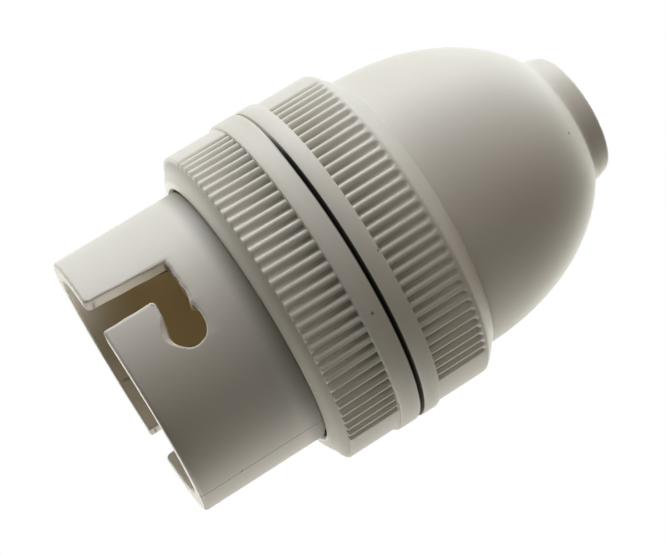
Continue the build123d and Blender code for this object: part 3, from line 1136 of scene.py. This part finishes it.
@dataclass
class Cap:
    """The domed cap with its flange, ribbed grip and cord neck."""

    bore: float = 13.83
    grip_r: float = 16.8
    flange_r: float = 17.1
    low: float = 22.18
    grip_low: float = 24.07
    grip_high: float = 29.8
    bevel_high: float = 31.5
    bevel_r: float = 15.0
    dome_r: float = 14.86
    dome_low: float = 31.8
    dome_rise: float = 19.6
    power: float = 2.1
    wall: float = 2.0
    seat: float = 30.7
    neck_foot_r: float = 7.8
    neck_r: float = 6.85
    neck_top_r: float = 6.65
    neck_rise: float = 1.5
    neck_round: float = 0.45
    rim_round: float = 0.7
    shoulder: Outline = ((0.0, -0.18), (-0.03, -0.06), (-0.1, 0.05))
    heel: Outline = ((0.05, -0.07), (0.0, -0.02), (-0.04, 0.0))
    rim: float = 51.5
    cord_r: float = 4.0
    edge: float = 0.22
    columns: int = 240
    flutes: Flutes = field(default_factory=lambda: Flutes(
        count=32, first_turn=-63.1, foot=24.07, end=29.6, open_end=False, fade=0.35))
    thread: Thread = field(default_factory=Thread)

    def dome(self, base_r: float, rise: float, end_r: float, count: int) -> list[tuple[float, float]]:
        """Draw one face of the dome.

        Args:
            base_r: Its radius at the base.
            rise: How high it would rise on the axis.
            end_r: The radius where it ends.
            count: How many steps it takes.

        Returns:
            Radius and height of each point, from the base up.
        """
        end = math.acos((end_r / base_r) ** (self.power / 2))
        points = []
        for step in range(count + 1):
            angle = end * step / count
            radius = base_r * math.cos(angle) ** (2 / self.power)
            points.append((radius, self.dome_low + rise * math.sin(angle) ** (2 / self.power)))
        return points

    def grip(self) -> bpy.types.Object:
        """Turn the flange and the grip, and cut their flutes and the cap's thread.

        Returns:
            The grip, open where the dome joins it.
        """
        points = [(self.bore + 0.3, self.low)] + flange(self.flange_r, self.low, self.grip_low, self.edge)
        points += [(self.grip_r, self.grip_low)]
        points += [(self.grip_r, height) for height in sorted(self.flutes.heights())]
        slope = (self.grip_r - self.bevel_r) / (self.bevel_high - self.grip_high)
        shoulder = self.shoulder + ((-0.2 * slope, 0.2),)
        heel = ((0.14 * slope, -0.14),) + self.heel
        points += [(self.grip_r, self.flutes.end)]
        points += [(self.grip_r + out, self.grip_high + up) for out, up in shoulder]
        points += [(self.bevel_r + out, self.bevel_high + up) for out, up in heel]
        points += [(self.dome_r, self.bevel_high + 0.02)]
        points += [(self.dome_r - self.wall, self.bevel_high), (self.dome_r - self.wall, self.seat)]
        points += [(self.bore, self.seat)]
        points += rows_down(self.bore, self.seat - 0.3, self.low + 0.3, 20)
        piece = MeshBench.turned("cap_grip", points, self.flutes.steps(), sectors=self.flutes.per_turn)

        def cut(radius: np.ndarray, turn: np.ndarray, height: np.ndarray) -> tuple:
            """Cut the flutes into the grip and the thread into the bore.

            Args:
                radius: Each point's radius in millimetres.
                turn: Its turn in degrees.
                height: Its height in millimetres.

            Returns:
                The new radius, turn and height.
            """
            on_grip = (height < self.grip_high) & (np.abs(radius - self.grip_r) < 0.01)
            depth = self.flutes.cut(radius, turn, height, self.grip_r) * on_grip
            in_bore = (radius < self.bore + 0.01) & (height > self.low + 0.35) & (height < self.seat - 0.35)
            relief = self.thread.depth * self.thread.wave(turn, height) * in_bore
            return radius - depth + relief, turn, height

        MeshBench.reshape(piece, cut)
        return piece

    def build(self) -> bpy.types.Object:
        """Build the cap: the grip below, and the dome with its neck above.

        Returns:
            The finished cap.
        """
        top = self.rim
        outside = self.dome(self.dome_r, self.dome_rise, self.neck_foot_r, 40)
        inside = self.dome(self.dome_r - self.wall, self.dome_rise - self.wall, self.cord_r + 0.3, 24)
        foot_z = outside[-1][1]
        points = [(self.dome_r, self.bevel_high - 0.05)] + outside
        fillet = (self.neck_foot_r - self.neck_r, self.neck_rise)
        points += arc((self.neck_foot_r, foot_z + self.neck_rise), fillet, 270, 180, 6)[1:]
        rim = (self.neck_round, self.rim_round)
        points += arc((self.neck_top_r - self.neck_round, top - self.rim_round), rim, 0, 90, 6)
        points += [(self.cord_r + 0.25, top), (self.cord_r + 0.07, top - 0.07), (self.cord_r, top - 0.25)]
        points += [(self.cord_r, inside[-1][1] + 0.3)] + inside[::-1]
        points += [(self.dome_r - self.wall, self.bevel_high - 0.05)]
        shell = MeshBench.turned("cap_dome", points, self.columns)
        piece = MeshBench.join([self.grip(), shell], "cap_moulding")
        MeshBench.smooth(piece, 40)
        return piece


@dataclass
class Interior:
    """The parts inside the barrel and the cap, smoothed from the frame's own solids."""

    spring_low: float = 16.9
    spring_high: float = 22.9
    plunger_travel: float = 4.0

    def smoothed(self, node: str) -> bpy.types.Object:
        """Copy a frame node, weld its triangles and shade it smooth.

        Args:
            node: The node's name.

        Returns:
            The new piece, which replaces the node.
        """
        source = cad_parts[node]
        piece = bpy.data.objects.new(f"{node}_finished", source.data.copy())
        bpy.context.scene.collection.objects.link(piece)
        joined = MeshBench.join([piece], f"{node}_finished")
        MeshBench.smooth(joined, 32)
        return joined


class Ray(Enum):
    """The kinds of ray that the studio treats differently, by their Light Path outputs."""

    CAMERA = "Is Camera Ray"
    GLOSSY = "Is Glossy Ray"
    TRANSMISSION = "Is Transmission Ray"
    DIFFUSE = "Is Diffuse Ray"
    SHADOW = "Is Shadow Ray"


@dataclass(frozen=True)
class SoftBox:
    """A square light on a sphere round the object: its turn and rise in degrees, and its milliwatts."""

    turn: float
    rise: float
    power: float
    colour: str
    distance: float = 500.0
    size: float = 260.0
    aim: float = 25.0

    def hang(self) -> None:
        """Hang the light so that it faces the object's middle."""
        turn, rise = math.radians(self.turn), math.radians(self.rise)
        data = bpy.data.lights.new("soft_box", "AREA")
        data.shape = "SQUARE"
        data.size = self.size * MM
        data.energy = self.power / 1000
        data.color = linear(self.colour)[:3]
        light = bpy.data.objects.new("soft_box", data)
        bpy.context.scene.collection.objects.link(light)
        out = Vector((math.sin(turn) * math.cos(rise), -math.cos(turn) * math.cos(rise), math.sin(rise)))
        place = Vector((0, 0, self.aim * MM)) + out * self.distance * MM
        light.matrix_world = Matrix.Translation(place) @ out.to_track_quat("Z", "Y").to_matrix().to_4x4()


@dataclass
class Studio:
    """A pale floor, a white surround and soft boxes, with the camera at the photograph's angle."""

    distance: float = 165.79
    drop: float = 8.093
    tilt: float = 100.393
    yaw: float = -0.4479
    roll: float = 58.229
    lens: float = 93.98
    sensor: float = 36.0
    surround: str = "#FFFFFF"
    darkness: str = "#000000"
    floor_radius: float = 900.0
    floor_gap: float = 0.02
    floor_colour: str = "#F4F4F2"
    floor_bounce: str = "#8C8A86"
    boxes: tuple[SoftBox, ...] = (
        SoftBox(120, -20, 1273, "#FFFCFB"),
        SoftBox(180, -20, 948, "#FFFFFE"),
        SoftBox(-90, 5, 935, "#F4F9FF"),
        SoftBox(-90, 32, 844, "#F2F9FF"),
        SoftBox(180, 60, 828, "#FBFFFB"),
        SoftBox(-150, -50, 763, "#FEFFFF"),
        SoftBox(150, 32, 410, "#FBFFF8"),
        SoftBox(-120, 60, 369, "#EEFCFF"),
        SoftBox(-60, -20, 337, "#FFFAFC"),
        SoftBox(-60, 5, 333, "#FEFAFF"),
        SoftBox(0, 60, 280, "#FFE8D3"),
        SoftBox(120, 32, 147, "#FFF8E2"),
    )

    def camera(self) -> None:
        """Set the camera where the photograph was taken from."""
        data = bpy.data.cameras.new("camera")
        data.lens = self.lens
        data.sensor_width = self.sensor
        data.sensor_fit = "HORIZONTAL"
        data.clip_start = 0.005
        camera = bpy.data.objects.new("camera", data)
        bpy.context.scene.collection.objects.link(camera)
        place = Matrix.Translation((0, -self.distance * MM, -self.drop * MM))
        turn = Matrix.Rotation(math.radians(self.tilt), 4, "X")
        turn = turn @ Matrix.Rotation(math.radians(self.yaw), 4, "Y")
        turn = turn @ Matrix.Rotation(math.radians(self.roll), 4, "Z")
        camera.matrix_world = place @ turn
        bpy.context.scene.camera = camera

    def world(self) -> None:
        """Make the surround white to the camera and in reflections, and dark to everything else."""
        world = bpy.data.worlds.new("surround")
        bpy.context.scene.world = world
        tree = NodeTree(world)
        dark = tree.nodes["Background"]
        dark.inputs["Color"].default_value = linear(self.darkness)
        white = tree.add("ShaderNodeBackground", {"Color": linear(self.surround), "Strength": 1.0})
        rays = tree.add("ShaderNodeLightPath")
        seen = rays.outputs[Ray.CAMERA.value]
        for ray in (Ray.GLOSSY, Ray.TRANSMISSION):
            seen = tree.add(
                "ShaderNodeMath", {0: seen, 1: rays.outputs[ray.value]}, operation="MAXIMUM"
            ).outputs[0]
        mix = tree.add("ShaderNodeMixShader", {0: seen, 1: dark.outputs[0], 2: white.outputs[0]})
        tree.links.new(mix.outputs[0], tree.nodes["World Output"].inputs["Surface"])

    def floor(self) -> None:
        """Lay the pale floor: a sheet of opal glass that lets light and the camera look up through it."""
        MeshBench.clear_selection()
        bpy.ops.mesh.primitive_circle_add(
            vertices=96, radius=self.floor_radius * MM, fill_type="NGON", location=(0, 0, -self.floor_gap * MM)
        )
        floor = bpy.context.object
        floor.name = "studio_floor"
        sheet = NodeSheet("studio_floor")
        rays = sheet.add("ShaderNodeLightPath")
        # Pale to the eye, but a mid tone to the light that would otherwise bounce up from it
        tone = sheet.add(
            "ShaderNodeMix",
            {0: rays.outputs[Ray.DIFFUSE.value], 6: linear(self.floor_colour), 7: linear(self.floor_bounce)},
            data_type="RGBA",
        )
        sheet.links.new(tone.outputs[2], sheet.shader.inputs["Base Color"])
        sheet.shader.inputs["Roughness"].default_value = 0.9
        sheet.shader.inputs["Specular IOR Level"].default_value = 0.0
        below = sheet.add("ShaderNodeNewGeometry").outputs["Backfacing"]
        through = sheet.add(
            "ShaderNodeMath", {0: below, 1: rays.outputs[Ray.SHADOW.value]}, operation="MAXIMUM"
        )
        clear = sheet.add("ShaderNodeBsdfTransparent")
        mix = sheet.add(
            "ShaderNodeMixShader",
            {0: through.outputs[0], 1: sheet.shader.outputs[0], 2: clear.outputs[0]},
        )
        sheet.links.new(mix.outputs[0], sheet.nodes["Material Output"].inputs["Surface"])
        floor.data.materials.append(sheet.material)

    def build(self) -> None:
        """Set up the whole studio."""
        self.camera()
        self.world()
        self.floor()
        for box in self.boxes:
            box.hang()
        bpy.context.scene.view_settings.view_transform = "Standard"


@dataclass
class LampHolder:
    """The whole lamp holder: builds each piece, dresses it and hands it to its body."""

    interior: Interior = field(default_factory=Interior)

    @staticmethod
    def fit(
        piece: bpy.types.Object, node: str, body: str, finish: MouldedPlastic | TurnedMetal, slot: str
    ) -> None:
        """Dress a piece and put it in its node's place.

        Args:
            piece: The finished piece.
            node: The node that it replaces.
            body: The body that it rides on.
            finish: Its one finish.
            slot: Its record slot; not used.
        """
        piece.data.materials.clear()
        piece.data.materials.append(finish.material())
        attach(piece, body)
        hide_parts(node)
        LOG.info("%s: %d faces", piece.name, len(piece.data.polygons))

    def mouldings(self) -> None:
        """Build the three white mouldings that show."""
        barrel_plastic = MouldedPlastic(
            "moulded_urea_barrel",
            # Painted warm shade in the bore and behind the slots
            bore=PaintedBoreShade(),
            specks=(Speck(turn=59.9, radius=13.72, height=4.4, size=0.16),),
            painted_shade=(
                # Painted shadow on the barrel's outside, darkest where the shade ring's lip meets it
                PaintedShade(0.7, height=(13.15, 11.0), radius=(13.6, 13.4)),
                # Painted dark-brown shade on the slots' cap-side walls
                PaintedShade(
                    0.8, radius=(13.25, 13.55), beyond=(11.75, 11.62), height=(7.97, 7.8), top=(8.3, 8.5),
                    colour="#4E3A1E",
                ),
            ),
            seam=Seam(turn=60.3),
        )
        ring_plastic = MouldedPlastic(
            "moulded_urea_ring",
            # Painted warm shade on the ring's bore and its mouth face
            bore=PaintedBoreShade(outside=14.9, inside=13.9, mouth_fade=0.1),
            specks=(Speck(turn=19.4, radius=17.1, height=20.66, size=0.17),),
            painted_shade=(
                # Painted shade in the grip's flutes, darker towards the flange
                PaintedShade(0.5, radius=(16.3, 16.75), height=(19.5, 14.0)),
                # Painted shade on the bead, darkest in the corner below the ribs
                PaintedShade(0.3, radius=(16.4, 16.75), height=(14.2, 13.4), top=(14.3, 14.5)),
                # Painted shade on the flange's edge, darker towards the gap
                PaintedShade(0.2, radius=(17.2, 17.0), height=(21.6, 20.2)),
                # Painted black shade in the gap between the two flanges
                PaintedShade(0.92, height=(21.74, 21.58), radius=(17.02, 17.1), side=(-9.5, -13.5), colour="#2A231B"),
            ),
        )
        cap_plastic = MouldedPlastic(
            "moulded_urea_cap",
            specks=(
                Speck(turn=4.2, radius=17.1, height=23.9, size=0.12),
                Speck(turn=8.3, radius=9.76, height=47.0, size=0.15),
            ),
            painted_shade=(
                # Painted shade in the grip's flutes, darker towards the flange
                PaintedShade(0.45, radius=(16.3, 16.75), height=(24.0, 30.5), top=(29.5, 29.9)),
                # Painted black shade in the gap between the two flanges
                PaintedShade(0.92, height=(22.2, 22.33), radius=(17.0, 17.1), side=(-9.5, -13.5), colour="#2A231B"),
            ),
        )
        makers = (
            (Barrel(), "barrel", "holder", barrel_plastic, "barrel_plastic"),
            (ShadeRing(), "shade_ring", "shade_ring", ring_plastic, "ring_plastic"),
            (Cap(), "cap", "cap", cap_plastic, "cap_plastic"),
        )
        for maker, node, body, finish, slot in makers:
            self.fit(maker.build(), node, body, finish, slot)

    def inner_parts(self) -> None:
        """Finish the parts inside, each in its own metal or plastic."""
        brass = TurnedMetal("turned_brass", "#D8B56A", "#B9924A")
        steel = TurnedMetal("plated_steel", "#C9C8C4", "#A9A7A1", roughness=0.3)
        wire = TurnedMetal("spring_wire", "#B7B8BA", "#8F9093", roughness=0.25, ring_mm=0.1)
        block = MouldedPlastic("moulded_urea_block", colour="#E4DFD0", shade="#D8D1BE")
        board = MouldedPlastic("pressed_insulating_board", colour="#B39A6B", shade="#9C8457", roughness=0.6)
        parts = {
            "terminal_block": ("holder", block, "block_plastic"),
            "guide_plate": ("holder", board, "insulator"),
            "plate_screw": ("holder", steel, "screw_steel"),
        }
        for side in ("a", "b"):
            parts[f"terminal_{side}"] = ("holder", brass, "terminal_brass")
            parts[f"terminal_screw_{side}"] = (f"terminal_screw_{side}", steel, "screw_steel")
            parts[f"plunger_{side}"] = (f"plunger_{side}", brass, "plunger_brass")
            parts[f"spring_{side}"] = ("holder", wire, "spring_steel")
        for node, (body, finish, slot) in parts.items():
            piece = self.interior.smoothed(node)
            self.fit(piece, node, body, finish, slot)
            if node.startswith("spring"):
                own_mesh(piece)


def main() -> None:
    """Build the lamp holder and its studio."""
    logging.basicConfig(level=logging.INFO)
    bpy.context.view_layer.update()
    holder = LampHolder()
    holder.mouldings()
    holder.inner_parts()
    Studio().build()


if __name__ == "__main__":
    main()
